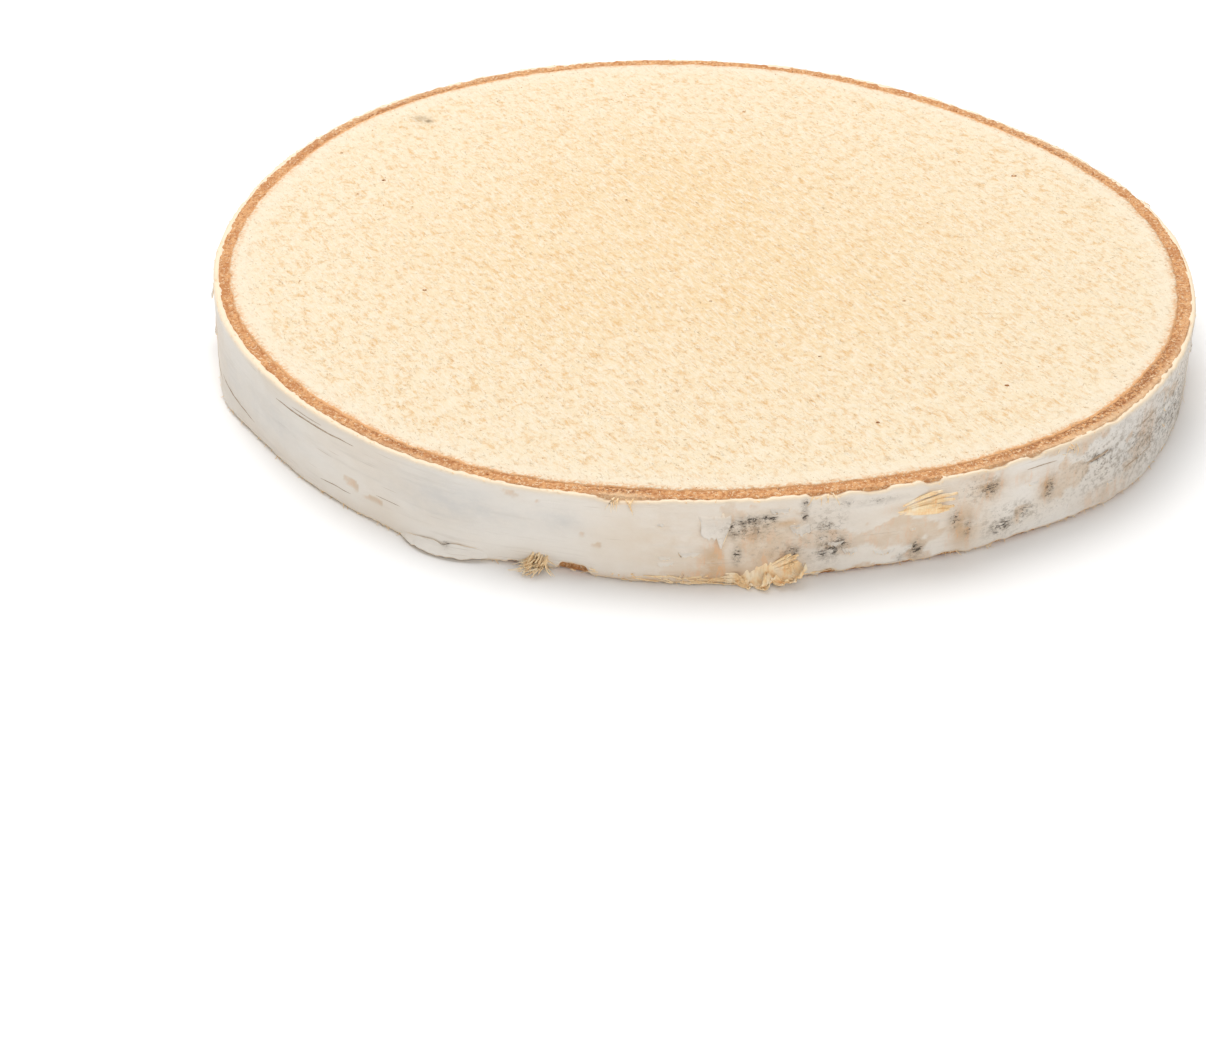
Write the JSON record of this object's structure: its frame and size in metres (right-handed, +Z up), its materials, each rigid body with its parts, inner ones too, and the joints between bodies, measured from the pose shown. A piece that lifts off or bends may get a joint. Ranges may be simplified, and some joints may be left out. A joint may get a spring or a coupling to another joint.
{
  "type": "birch wood slice",
  "caption": "Round sawn slice of birch with flat wood faces, a brown inner-bark ring and white papery bark that is torn along its lower edge.",
  "frame": {"origin": "middle of the slice's box, at the lower sawn face that it rests on", "axes": "+Z up through the thickness, along the grain of the wood, from the lower sawn face to the upper one; -Y faces the side of the rim that the picture shows nearest"},
  "size_m": [0.1158, 0.1184, 0.0104],
  "materials": {
    "sawn_wood": "fuzzy sawn end grain, pale cream, matt",
    "inner_bark": "granular, orange-brown, matt",
    "outer_bark": "papery, white with grey and tan patches and thin dark lines, satin to matt",
    "torn_fibre": "torn inner bark and fibre, orange-cream, matt"
  },
  "bodies": {
    "root": {"birch_slice": "sawn_wood"}
  },
  "joints": []
}
